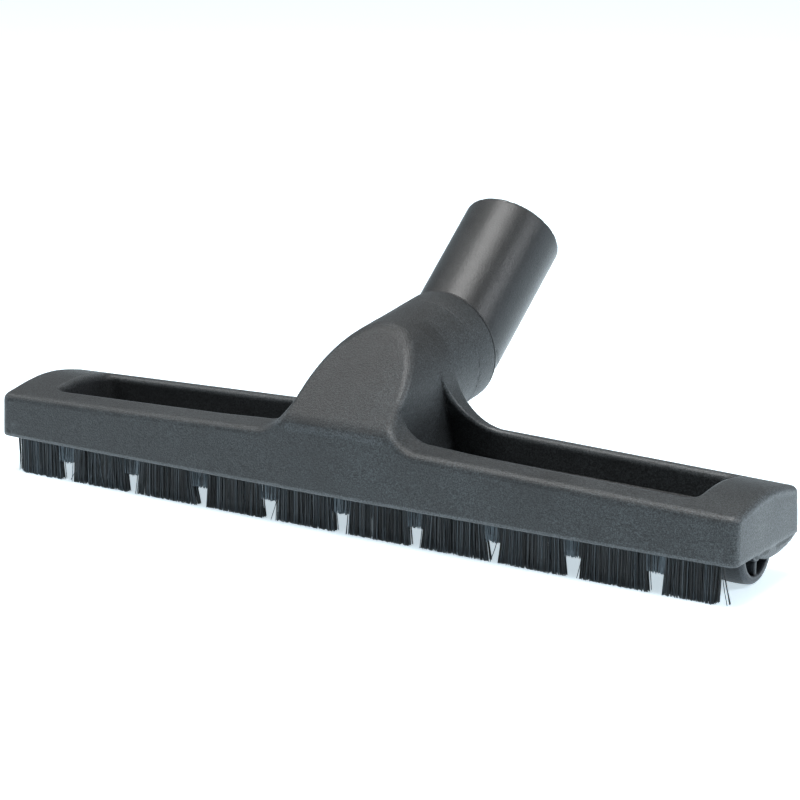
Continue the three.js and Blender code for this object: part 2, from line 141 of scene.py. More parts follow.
def either(a, b, radius):
    """Two solids joined, with a hollow fillet between them."""
    corner = np.hypot(np.maximum(radius - a, 0), np.maximum(radius - b, 0))
    return np.maximum(np.minimum(a, b), radius) - corner


def without(a, b, radius=0.3):
    return both(a, -b, radius)


def block(x, y, z, low, high):
    """A plain box from corner to corner."""
    sides = [low[0] - x, x - high[0], low[1] - y, y - high[1], low[2] - z, z - high[2]]
    return np.maximum.reduce(np.broadcast_arrays(*sides))


def ramp(value, start, end):
    """Smooth step from 0 at start to 1 at end."""
    t = np.clip((value - start) / (end - start), 0, 1)
    return t * t * (3 - 2 * t)


def mix(a, b, share):
    return a + (b - a) * share


def bow_scale(x, y):
    swell = np.where(y < 0, FRONT_BOW, REAR_BOW) * (1 - (x / HALF) ** 2)
    return 1 + swell / (DEPTH / 2)


def rise_at(x, section_y):
    across = np.clip(section_y / DEPTH + 0.5, 0, 1)
    return mix(FRONT_RISE, REAR_RISE, across) * (1 - np.abs(x) / HALF)


def section_to_head(points):
    """Bends the straight head section into its bowed and risen place."""
    x, y, z = points.T
    lifted = z + rise_at(x, y) * np.clip(z / RISE_FULL, 0, 1)
    return np.stack([x, y * bow_scale(x, y), lifted], 1)


def head_to_section(x, y, z):
    flat_y = y / bow_scale(x, y)
    rise = rise_at(x, flat_y)
    low = z / (1 + rise / RISE_FULL)
    flat_z = np.where(z > RISE_FULL + rise, z - rise, np.where(z > 0, low, z))
    return flat_y, flat_z


def along_neck(y, z):
    """Distance along the collar's axis from its rim, and height above the axis."""
    back, up = y - RIM_CENTRE[1], z - RIM_CENTRE[2]
    v = back * math.cos(COLLAR_TILT) + up * math.sin(COLLAR_TILT)
    w = up * math.cos(COLLAR_TILT) - back * math.sin(COLLAR_TILT)
    return v, w


def neck_arch(x, w):
    """Half round on top with drafted legs below."""
    legs = np.abs(x) - COLLAR_RADIUS + w * LEG_DRAFT
    return np.where(w > 0, np.hypot(x, w) - COLLAR_RADIUS, legs)


def hood_plane(y, z):
    return (z - HOOD_FOOT[1]) * math.cos(HOOD_LEAN) - (y - HOOD_FOOT[0]) * math.sin(HOOD_LEAN)


def trough(x, flat_y, flat_z, y, z):
    """The two open recesses in the top, whose rear wall leans forward beside the hood."""
    side = np.abs(x)
    beside_hood = 1 - ramp(side, 24, 52)
    leaning = y - (LEAN_FOOT[0] - LEAN * (z - LEAN_FOOT[1]))
    rear = mix(flat_y - TROUGH_REAR, leaning, beside_hood)
    front = TROUGH_FRONT - flat_y
    end = side - TROUGH_END - TROUGH_DRAFT * (flat_z - DRAFT_HEIGHT)
    walls = both(both(end, front, TROUGH_CORNER), both(end, rear, TROUGH_CORNER), SHARP)
    walls = np.maximum(walls, TROUGH_START - side)
    return both(walls, TROUGH_FLOOR - flat_z, FLOOR_FILLET)


def skirt_line(y):
    """Lower edge of the skirts under the end walls."""
    middle, front_reach, rear_reach = 6.0, 15.2, 19.0
    lowest, lift = -3.5, 3.9
    across = np.where(y < middle, (middle - y) / front_reach, (y - middle) / rear_reach)
    return lowest + lift * np.clip(across, 0, 1.2) ** 2.4


def air_path(x, y, z, arch, v, w, plane):
    """The way of the air: suction mouth, space under the hood and the collar's bore."""
    hood_front, hood_rear = HOOD_HOLLOW
    over_floor = TROUGH_FLOOR + 2.2 - z
    under_hood = np.maximum.reduce(
        [arch + HOOD_SHELL, plane + HOOD_SHELL, hood_front - y, y - hood_rear, over_floor])
    bore = np.maximum(np.hypot(x, w) - COLLAR_BORE, COLLAR_START - v)
    half_length, half_depth = SUCTION_MOUTH
    mouth = block(x, y, z, (-half_length, -half_depth, -2), (half_length, half_depth, TROUGH_FLOOR + 4))
    return np.minimum.reduce([under_hood, bore, mouth])


def brush_slot(x, y, z, middle, half_length):
    """Slot that a brush strip is pressed into; the strip's top stands a little way into the plastic."""
    half = STRIP_WIDTH / 2 + SLOT_GAP
    reach = half_length + SLOT_END_GAP
    return block(x, y, z, (-reach, middle - half, HOLLOW_START), (reach, middle + half, STRIP_TOP - SLOT_LAP))


def end_skirt(side, y, z, round_end):
    """The end walls' rounded skirts, outside the wheels."""
    skirt = np.maximum(np.maximum(skirt_line(y) - z, z - 2), HALF - END_WALL - side)
    skirt = both(np.maximum(skirt, round_end), side - HALF, 1.1)
    return both(skirt, np.abs(y - SKIRT_MIDDLE) - SKIRT_HALF, 1.5)


def wheel_lugs(side, y, z):
    """A lug on each side of each wheel, which carries the pin."""
    inner = np.abs(side - (TROUGH_END + WHEEL_INNER - WHEEL_GAP) / 2) - INNER_LUG_HALF
    outer = np.abs(side - (HALF - END_WALL + WHEEL_OUTER + WHEEL_GAP) / 2) - OUTER_LUG_HALF
    foot = np.hypot(y - WHEEL_Y, z - WHEEL_Z) - LUG_RADIUS
    leg = np.maximum(np.abs(y - WHEEL_Y) - LUG_RADIUS, np.maximum(WHEEL_Z - z, z - LUG_TOP))
    return np.maximum(np.minimum(foot, leg), np.minimum(inner, outer))


def pin_holes(side, y, z):
    """Blind holes for the wheel pins, which the end walls cover from outside."""
    hole = np.maximum(np.hypot(y - WHEEL_Y, z - WHEEL_Z) - PIN_BORE, side - (HALF - PIN_COVER))
    return np.maximum(hole, TROUGH_END - 1 - side)


def housing_distance(x, y, z):
    """The head with its troughs, hood, collar, end walls and all its hollows."""
    side = np.abs(x)
    flat_y, flat_z = head_to_section(x, y, z)
    v, w = along_neck(y, z)

    front = -flat_y - DEPTH / 2 + FRONT_DRAFT * flat_z
    rear = flat_y - DEPTH / 2 + REAR_DRAFT * flat_z
    end = side - HALF + END_DRAFT * np.maximum(flat_z, 0)
    round_end = both(both(end, front, END_ROUND), both(end, rear, REAR_ROUND), SHARP)
    crown = flat_z - CROWN(np.clip(flat_y, -CROWN_REACH, CROWN_REACH))
    arch = neck_arch(x, w)
    plane = hood_plane(y, z)

    flare = mix(FLARE_FRONT, FLARE_REAR, ramp(y, -14, 8))
    raised = both(either(crown, arch, flare), plane, HOOD_EDGE)
    outside = both(raised, round_end, TOP_ROUND)
    lip = mix(TROUGH_LIP_AT_HOOD, TROUGH_LIP, ramp(side, 28, 60))
    cutaway = without(outside, trough(x, flat_y, flat_z, y, z), lip)
    hood = both(both(arch, plane, HOOD_EDGE), round_end, TOP_ROUND)
    body = both(either(cutaway, hood, 0.2), -flat_z, FOOT_ROUND)

    collar = np.maximum.reduce([np.hypot(x, w) - COLLAR_RADIUS, v - MOUTH_START - 1, COLLAR_START - v])
    fading = np.clip(-w / 8, 0.01, 1)     # the fillet fades out up the collar's sides
    body = either(body, collar, COLLAR_FILLET * fading)

    channel = block(x, y, z, (-TROUGH_END, -CHANNEL_HALF, HOLLOW_START),
                    (TROUGH_END, CHANNEL_HALF, CHANNEL_TOP))
    well = block(side, y, z, (WHEEL_INNER - WHEEL_GAP, -CHANNEL_HALF, WELL_START),
                 (HALF - END_WALL, WELL_REAR, WELL_TOP))
    front_slot = brush_slot(x, y, z, -STRIP_Y, STRIP_HALF)
    rear_slot = brush_slot(x, y, z, STRIP_Y, REAR_STRIP_HALF)
    for hollow in (channel, front_slot, rear_slot, well):
        body = without(body, hollow, 0.3)

    body = np.minimum.reduce([body, end_skirt(side, y, z, round_end), wheel_lugs(side, y, z)])
    body = without(body, pin_holes(side, y, z), 0.1)
    return without(body, air_path(x, y, z, arch, v, w, plane), 0.3)


def elbow_distance(x, y, z):
    """The swivel elbow: spigot inside the collar, rounded corner and the tube for the wand."""
    v, w = along_neck(y, z)
    outer_v = v - BEND_POINT
    along = outer_v * math.cos(BEND) + w * math.sin(BEND)
    up = w * math.cos(BEND) - outer_v * math.sin(BEND)
    from_axis, from_tube = np.hypot(x, w), np.hypot(x, up)
    from_corner = np.sqrt(x ** 2 + outer_v ** 2 + w ** 2)

    grooved = np.where((v > GROOVE[0]) & (v < GROOVE[1]), GROOVE_RADIUS, SPIGOT)
    stepped = np.where((v > SHOULDER[0]) & (v < SHOULDER[1]), SHOULDER_RADIUS, grooved)
    spigot = np.maximum.reduce([from_axis - stepped, -SPIGOT_LENGTH - v, outer_v])
    radius = mix(TUBE_BASE, TUBE_END, np.clip(along / TUBE_LENGTH, 0, 1))
    tube = both(from_tube - radius, along - TUBE_LENGTH, 0.7)
    tube = np.maximum(tube, -along)
    outside = either(np.minimum(spigot, from_corner - SPIGOT), tube, 0.15)

    bore_radius = mix(SPIGOT_BORE, TUBE_BORE, np.clip(along / 6, 0, 1))
    flared = bore_radius + 0.7 * ramp(along, TUBE_LENGTH - 1.6, TUBE_LENGTH)
    tube_bore = np.maximum(from_tube - flared, -along)
    spigot_bore = np.maximum(from_axis - SPIGOT_BORE, outer_v)
    bore = np.minimum.reduce([tube_bore, spigot_bore, from_corner - SPIGOT_BORE])
    return without(outside, bore, 0.3)


# ---- from distance rules to meshes ---------------------------------------------------------------
def spaced(*stretches):
    """Grid lines: each stretch is (start, end, step), and the next one starts where it ends."""
    lines = [np.linspace(a, b, max(1, round((b - a) / step)) + 1)[:-1] for a, b, step in stretches]
    return np.concatenate([*lines, [stretches[-1][1]]])


def slope(distance, points, step=0.05):
    """Direction in which the distance grows, at each point."""
    grown = np.empty_like(points)
    for axis in range(3):
        shift = np.zeros(3)
        shift[axis] = step
        grown[:, axis] = (distance(*(points + shift).T) - distance(*(points - shift).T)) / (2 * step)
    return grown


def surface_of(distance, lines, bend=None):
    """Quads that wrap a distance rule: one point in each grid cell that the surface crosses."""
    bend = bend or (lambda points: points)
    shape = [len(line) for line in lines]
    places = np.stack(np.meshgrid(*lines, indexing="ij"), -1)
    field = distance(*bend(places.reshape(-1, 3)).T).reshape(shape)
    cells = [n - 1 for n in shape]
    total = np.zeros(cells + [3])
    count = np.zeros(cells)
    crossings = []
    for axis in range(3):
        near = np.take(field, range(shape[axis] - 1), axis)
        far = np.take(field, range(1, shape[axis]), axis)
        start = np.take(places, range(shape[axis] - 1), axis)
        stop = np.take(places, range(1, shape[axis]), axis)
        crosses = (near < 0) != (far < 0)
        where = np.argwhere(crosses)
        share = (near / np.where(crosses, near - far, 1))[crosses][:, None]
        point = start[crosses] * (1 - share) + stop[crosses] * share
        others = [a for a in range(3) if a != axis]
        for da in (0, 1):
            for db in (0, 1):
                cell = where.copy()
                cell[:, others[0]] -= da
                cell[:, others[1]] -= db
                fits = np.all((cell >= 0) & (cell < cells), 1)
                index = tuple(cell[fits].T)
                np.add.at(total, index, point[fits])
                np.add.at(count, index, 1)
        crossings.append((axis, others, where, (near < 0)[crosses]))

    used = count > 0
    number = np.full(cells, -1)
    number[used] = np.arange(used.sum())
    points = bend(total[used] / count[used][:, None])
    faces = []
    for axis, (a, b), where, inside_near in crossings:
        loop = []
        for da, db in ((1, 1), (0, 1), (0, 0), (1, 0)):
            cell = where.copy()
            cell[:, a] -= da
            cell[:, b] -= db
            loop.append(number[tuple(np.clip(cell, 0, np.array(cells) - 1).T)])
        quads = np.stack(loop, 1)
        flip = inside_near if axis == 1 else ~inside_near
        quads[flip] = quads[flip][:, ::-1]
        faces.append(quads)
    for _ in range(4):
        gradient = slope(distance, points)
        steepness = np.maximum((gradient ** 2).sum(1), 0.2)
        move = -gradient * (distance(*points.T) / steepness)[:, None]
        points = points + np.clip(move, -0.35, 0.35)
    return points, np.concatenate(faces)


def mesh_object(name, points, faces):
    mesh = bpy.data.meshes.new(name)
    mesh.from_pydata(to_row(points).tolist(), [], [list(map(int, face)) for face in faces])
    mesh.update()
    mesh.shade_smooth()
    piece = bpy.data.objects.new(name, mesh)
    bpy.context.scene.collection.objects.link(piece)
    return piece


def keep_attribute(piece, name, values):
    attribute = piece.data.attributes.new(name, "FLOAT", "POINT")
    attribute.data.foreach_set("value", np.asarray(values, np.float32))


def carved(name, distance, lines, bend=None):
    """A piece wrapped round a distance rule, shaded by the rule's own slope. Its "edge" attribute is
    above 0 on outward edges and below 0 in inward corners."""
    points, faces = surface_of(distance, lines, bend)
    piece = mesh_object(name, points, faces)
    normals = slope(distance, points, 0.25)
    normals /= np.maximum(np.linalg.norm(normals, axis=1), 1e-6)[:, None]
    reach = 1.1
    around = sum(distance(*(points + reach * Vector(d)).T) for d in
                 ((1, 0, 0), (-1, 0, 0), (0, 1, 0), (0, -1, 0), (0, 0, 1), (0, 0, -1)))
    keep_attribute(piece, "edge", np.clip(around / reach ** 2, -2, 2))
    piece.data.normals_split_custom_set_from_vertices(normals.tolist())
    return piece


def turned(name, profile, sides, place):
    """A profile of (radius, along) points turned about the local Y axis, then placed."""
    angles = np.linspace(0, 2 * math.pi, sides, endpoint=False)
    rings = np.array([[[r * math.cos(a), v, r * math.sin(a)] for r, v in profile] for a in angles])
    n = len(profile)
    points = np.array([place(p) for p in rings.reshape(-1, 3)])
    faces = []
    for i in range(sides):
        for j in range(n):
            k = (i + 1) % sides
            faces.append([i * n + j, i * n + (j + 1) % n, k * n + (j + 1) % n, k * n + j])
    return mesh_object(name, points, faces)


def rounded_profile(corners, radius, steps=3):
    """Closed outline with every corner rounded off by an arc."""
    corners = [np.array(c, float) for c in corners]
    outline = []
    for i, corner in enumerate(corners):
        before, after = corners[i - 1] - corner, corners[(i + 1) % len(corners)] - corner
        reach = min(radius, 0.45 * np.linalg.norm(before), 0.45 * np.linalg.norm(after))
        start = corner + before / np.linalg.norm(before) * reach
        stop = corner + after / np.linalg.norm(after) * reach
        for k in range(steps + 1):
            t = k / steps
            outline.append((1 - t) ** 2 * start + 2 * t * (1 - t) * corner + t * t * stop)
    return [tuple(p) for p in outline]


def recalculated(piece):
    """Merges doubles and points every face outwards."""
    sheet = bmesh.new()
    sheet.from_mesh(piece.data)
    bmesh.ops.remove_doubles(sheet, verts=sheet.verts, dist=1e-7)
    bmesh.ops.recalc_face_normals(sheet, faces=sheet.faces)
    sheet.to_mesh(piece.data)
    sheet.free()
    return piece


# ---- node trees ----------------------------------------------------------------------------------
class Socket:
    """A node's output that Python arithmetic can use; every step adds one Math node."""

    def __init__(self, tree, output):
        self.tree, self.output = tree, output

    def __add__(self, other):
        return self.tree.maths("ADD", self, other)

    def __sub__(self, other):
        return self.tree.maths("SUBTRACT", self, other)

    def __rsub__(self, other):
        return self.tree.maths("SUBTRACT", other, self)

    def __mul__(self, other):
        return self.tree.maths("MULTIPLY", self, other)

    def __truediv__(self, other):
        return self.tree.maths("DIVIDE", self, other)

    def __rtruediv__(self, other):
        return self.tree.maths("DIVIDE", other, self)

    def __pow__(self, other):
        return self.tree.maths("POWER", self, other)

    __radd__, __rmul__ = __add__, __mul__

    def size(self):
        return self.tree.maths("ABSOLUTE", self)

    def at_least(self, other):
        return self.tree.maths("MAXIMUM", self, other)

    def at_most(self, other):
        return self.tree.maths("MINIMUM", self, other)

    def over(self, other):
        return self.tree.maths("GREATER_THAN", self, other)

    def smooth(self, start, end):
        """0 below start, 1 above end, with a soft step between."""
        node = self.tree.add("ShaderNodeMapRange", {"interpolation_type": "SMOOTHSTEP"},
                             {0: self, 1: start, 2: end, 3: 0.0, 4: 1.0})
        return node[0]


class Node:
    """A node whose outputs are read by name or number."""

    def __init__(self, tree, node):
        self.tree, self.node = tree, node

    def __getitem__(self, output):
        return Socket(self.tree, self.node.outputs[output])


class Tree:
    """Adds nodes to a shader or geometry tree."""

    def __init__(self, nodes):
        self.nodes = nodes

    def add(self, kind, settings=None, inputs=None):
        node = self.nodes.nodes.new(kind)
        for name, value in (settings or {}).items():
            setattr(node, name, value)
        for name, value in (inputs or {}).items():
            self.feed(node.inputs[name], value)
        return Node(self, node)

    def feed(self, socket, value):
        if isinstance(value, Socket):
            self.nodes.links.new(value.output, socket)
        else:
            socket.default_value = value

    def maths(self, operation, *values):
        return self.add("ShaderNodeMath", {"operation": operation}, dict(enumerate(values)))[0]

    def blend(self, share, a, b):
        colours = [value if isinstance(value, Socket) else (*value, 1) for value in (a, b)]
        node = self.add("ShaderNodeMix", {"data_type": "RGBA"}, {0: share, 6: colours[0], 7: colours[1]})
        return node[2]

    def tint(self, colour, factor):
        """A colour made lighter or darker by a factor that varies over the surface."""
        node = self.add("ShaderNodeVectorMath", {"operation": "SCALE"}, {0: colour, 3: factor})
        return node[0]

    def noise(self, place, scale, detail=2.0, roughness=0.5):
        inputs = {"Vector": place, "Scale": scale, "Detail": detail, "Roughness": roughness}
        return self.add("ShaderNodeTexNoise", None, inputs)["Fac"]

    def stretched(self, place, scale):
        return self.add("ShaderNodeMapping", None, {"Vector": place, "Scale": scale})[0]


def new_material(name):
    material = bpy.data.materials.new(name)
    material.use_nodes = True
    material.node_tree.nodes.clear()
    tree = Tree(material.node_tree)
    place = tree.add("ShaderNodeTexCoord")["Object"]
    return material, tree, place


def finish_material(tree, colour, roughness, normal=None, metallic=0.0, specular=0.5):
    inputs = {"Base Color": colour, "Roughness": roughness, "Metallic": metallic,
              "Specular IOR Level": specular}
    if normal is not None:
        inputs["Normal"] = normal
    shader = tree.add("ShaderNodeBsdfPrincipled", None, inputs)
    tree.add("ShaderNodeOutputMaterial", None, {"Surface": shader["BSDF"]})
    return shader


def bumps(tree, height, distance, strength=1.0):
    return tree.add("ShaderNodeBump", None, {"Height": height, "Distance": distance, "Strength": strength})[0]


def moulded_plastic(name, shade, roughness, grain=1.0, scuffs=0.0, specular=0.4):
    """Black moulded plastic: fine eroded grain, cloudy gloss, chalky scuffs, polished edges with a painted
    highlight, and painted shade in inward corners.
    """
    material, tree, place = new_material(name)
    fine = tree.noise(place, 2700, 2, 0.6)
    pitted = tree.noise(place, 1500, 2, 0.65)
    clouds = tree.noise(place, 38, 4, 0.6)
    broad = tree.noise(place, 11, 2)
    edge = tree.add("ShaderNodeAttribute", {"attribute_name": "edge"})["Fac"]
    # Outward edges: polished wear lowers roughness and smooths the grain; their lighter colour is a painted
    # highlight.
    edge_wear_and_highlight = edge.smooth(0.14, 0.6) * (0.6 + 0.6 * tree.noise(place, 160, 3))
    # Painted shade: inward corners are darkened.
    hollow = (0 - edge).smooth(0.1, 0.8)

    patch = (broad * 0.6 + clouds * 0.5).smooth(0.42, 0.72)
    speckle = (pitted * 0.5 + fine * 0.6).smooth(0.42, 0.72)
    chalk = patch * speckle * scuffs
    pores = (pitted * 0.45 + fine * 0.55).smooth(0.36, 0.64)

    grey = tree.blend(clouds.smooth(0.3, 0.7), [c * 0.85 for c in shade], [c * 1.18 for c in shade])
    grey = tree.blend(chalk * 0.28, grey, (0.075, 0.09, 0.097))
    # Painted highlight: outward edges are lightened.
    grey = tree.blend(edge_wear_and_highlight * 0.7, grey, [c * 3.6 for c in shade])
    # Painted shade: inward corners are darkened.
    grey = tree.blend(hollow * 0.6, grey, [c * 0.5 for c in shade])
    colour = tree.tint(grey, 1 + (pores - 0.5) * 1.3 * grain)
    rough = roughness + (clouds - 0.5) * 0.12 + chalk * 0.15 - edge_wear_and_highlight * 0.14 - (pores - 0.5) * 0.12 * grain
    height = (fine * 0.5 + pitted) * (1 - edge_wear_and_highlight * 0.6) * grain
    finish_material(tree, colour, rough, bumps(tree, height, 0.00022), specular=specular)
    return material


def bristle_material(name):
    """Black nylon filaments, each a little different, with painted blue-grey highlights on the short
    filaments in the notches and on the tufts at the left end.
    """
    material, tree, place = new_material(name)
    tint = tree.add("ShaderNodeAttribute", {"attribute_name": "tint"})["Fac"]
    along = tree.add("ShaderNodeAttribute", {"attribute_name": "along"})["Fac"]
    streak = tree.noise(tree.stretched(place, (900, 900, 60)), 1, 2)
    # tint is each filament's random tone plus a painted highlight from the brush tree, which lightens the
    # filaments in the notches and at the left end as if lit.
    grey = tree.blend(tint.smooth(0.5, 1.3), (0.004, 0.005, 0.006), (0.110, 0.138, 0.160))
    grey = tree.blend(streak.smooth(0.45, 0.8) * 0.4, grey, (0.060, 0.074, 0.085))
    colour = tree.blend(along.smooth(0.97, 1.0) * 0.3, grey, (0.10, 0.11, 0.12))
    finish_material(tree, colour, 0.36 + 0.15 * tint, specular=0.5)
    return material


def steel_material(name, shade, roughness):
    """Drawn or plated steel with fine turning marks and dull patches."""
    material, tree, place = new_material(name)
    rings = tree.noise(tree.stretched(place, (5200, 900, 900)), 1, 2, 0.6)
    dull = tree.noise(place, 420, 3, 0.6)
    colour = tree.blend(dull.smooth(0.4, 0.75), shade, [c * 0.55 for c in shade])
    rough = roughness + dull * 0.2
    finish_material(tree, colour, rough, bumps(tree, rings, 0.00002), metallic=1.0)
    return material


def rubber_material(name):
    material, tree, place = new_material(name)
    film = tree.noise(place, 900, 3, 0.6)
    colour = tree.blend(film.smooth(0.35, 0.75), (0.012, 0.012, 0.012), (0.03, 0.03, 0.031))
    finish_material(tree, colour, 0.5 + film * 0.3, bumps(tree, film, 0.00005), specular=0.35)
    return material


def floor_material(name):
    """Plain pale studio floor that glows faintly, with a very slight mottling."""
    material, tree, place = new_material(name)
    cloud = tree.noise(place, 3, 3)
    colour = tree.blend(cloud, (0.76, 0.86, 0.92), (0.80, 0.90, 0.96))
    shader = finish_material(tree, colour, 0.6 + 0.1 * tree.noise(place, 160, 2), specular=0.2)
    shader.node.inputs["Emission Color"].default_value = (0.82, 0.95, 1.03, 1)
    shader.node.inputs["Emission Strength"].default_value = 0.66
    return material


housing_plastic = moulded_plastic("housing_plastic", (0.018, 0.020, 0.0215), 0.42, grain=1.0, scuffs=1.0)
tube_plastic = moulded_plastic("tube_plastic", (0.014, 0.0148, 0.0155), 0.31, grain=0.45, scuffs=0.25)
ring_plastic = moulded_plastic("ring_plastic", (0.018, 0.019, 0.020), 0.38, grain=0.5, scuffs=0.2)
wheel_plastic = moulded_plastic("wheel_plastic", (0.020, 0.022, 0.025), 0.42, grain=0.6, scuffs=0.6)
sole_plastic = moulded_plastic("sole_plastic", (0.024, 0.026, 0.028), 0.45, grain=0.7, scuffs=0.8)
strip_plastic = moulded_plastic("strip_plastic", (0.02, 0.021, 0.023), 0.4, grain=0.3, scuffs=0.2)
bristle_nylon = bristle_material("bristle_nylon")
pin_steel = steel_material("pin_steel", (0.55, 0.55, 0.56), 0.25)
screw_steel = steel_material("screw_steel", (0.30, 0.30, 0.31), 0.35)
seal_rubber = rubber_material("seal_rubber")


def joined(first, *others):
    """Makes several meshes one piece."""
    with bpy.context.temp_override(active_object=first, selected_editable_objects=[first, *others]):
        bpy.ops.object.join()
    return first


def dress(piece, material):
    piece.data.materials.clear()
    piece.data.materials.append(material)
    return piece


def stand_for(piece, body, slot_name, material, *nodes):
    """Finishes a piece: its material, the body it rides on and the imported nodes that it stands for."""
    if material is not None:
        dress(piece, material)
    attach(piece, body)
    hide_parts(*nodes)
    return piece


# ---- housing -------------------------------------------------------------------------------------
neck_turn = Matrix.Rotation(COLLAR_TILT, 3, "X")


def on_neck(point):
    return neck_turn @ Vector(point) + Vector(RIM_CENTRE)


FINE, COARSE = 0.95, 3.2
across_head = spaced((-29.5, 56.5, FINE))
up_head = spaced((-5.5, 63.5, FINE))
along_head = spaced((-162, -134, FINE), (-134, -48, COARSE), (-48, 48, FINE), (48, 134, COARSE),
                    (134, 162, FINE))
shell = carved("housing_shell", housing_distance, [along_head, across_head, up_head], section_to_head)
mouth_outline = rounded_profile(
    [(MOUTH_BORE, MOUTH_START), (MOUTH_RADIUS, MOUTH_START), (MOUTH_RADIUS, -1.15),
     (MOUTH_SEAT, -1.15), (MOUTH_SEAT, -11.5), (MOUTH_BORE, -11.5)], PROFILE_ROUND)
mouth = recalculated(turned("collar_mouth", mouth_outline, 160, on_neck))
keep_attribute(mouth, "edge", [0.0] * len(mouth.data.vertices))
housing = joined(shell, mouth)
stand_for(housing, "head", "housing_plastic", housing_plastic, "housing")

# ---- neck ----------------------------------------------------------------------------------------
elbow_lines = [spaced((-22.5, 22.5, 0.9)), spaced((22, 116, 0.9)), spaced((14, 97, 0.9))]
elbow = carved("swivel_elbow", elbow_distance, elbow_lines)
stand_for(elbow, "neck", "tube_plastic", tube_plastic, "elbow_tube")

ring_outline = rounded_profile(
    [(RING_BORE, RING_BACK), (RING_BODY, RING_BACK), (RING_BODY, RING_LIP), (COLLAR_RADIUS, RING_LIP),
     (COLLAR_RADIUS, 0), (21.2, 0), (20.15, -1.9), (RING_BORE, -2.6)], PROFILE_ROUND)
lock_ring = recalculated(turned("lock_ring_lip", ring_outline, 128, on_neck))
stand_for(lock_ring, "head", "ring_plastic", ring_plastic, "lock_ring")


# ---- wheels --------------------------------------------------------------------------------------
def wheel_distance(x, y, z):
    """Moulded wheel about X: rounded rim, thin web, hub and four ribs."""
    half = (WHEEL_OUTER - WHEEL_INNER) / 2
    middle = (WHEEL_OUTER + WHEEL_INNER) / 2
    rim_inner, hub, web_half, rib_half = 9.6, 4.6, 0.8, 0.85
    across = np.abs(np.abs(x) - middle)
    dy, dz = y - WHEEL_Y, z - WHEEL_Z
    radius = np.hypot(dy, dz)
    tread = radius - WHEEL_RADIUS + 0.012 * across ** 2
    rim = both(both(tread, across - half, 1.5), rim_inner - radius, 0.5)
    web = np.maximum(radius - rim_inner - 1, across - web_half)
    spokes = np.minimum(np.abs(dy), np.abs(dz)) - rib_half
    ribs = both(np.maximum(spokes, radius - rim_inner - 1), across - half + 0.6, 0.3)
    boss = both(radius - hub, across - half, 0.5)
    solid = either(np.minimum(rim, boss), np.minimum(web, ribs), 0.5)
    return without(solid, radius - PIN_BORE, 0.25)


wheel_lines = [spaced((WHEEL_Y - 14, WHEEL_Y + 14, 0.5)), spaced((WHEEL_Z - 14, WHEEL_Z + 14, 0.5))]
for side, word in ((-1, "left"), (1, "right")):
    ends = sorted((side * (WHEEL_INNER - 1), side * (WHEEL_OUTER + 1)))
    wheel = carved(f"end_wheel_{word}", wheel_distance, [spaced((*ends, 0.5)), *wheel_lines])
    stand_for(wheel, f"{word}_wheel", "wheel_plastic", wheel_plastic, f"wheel_{word}")


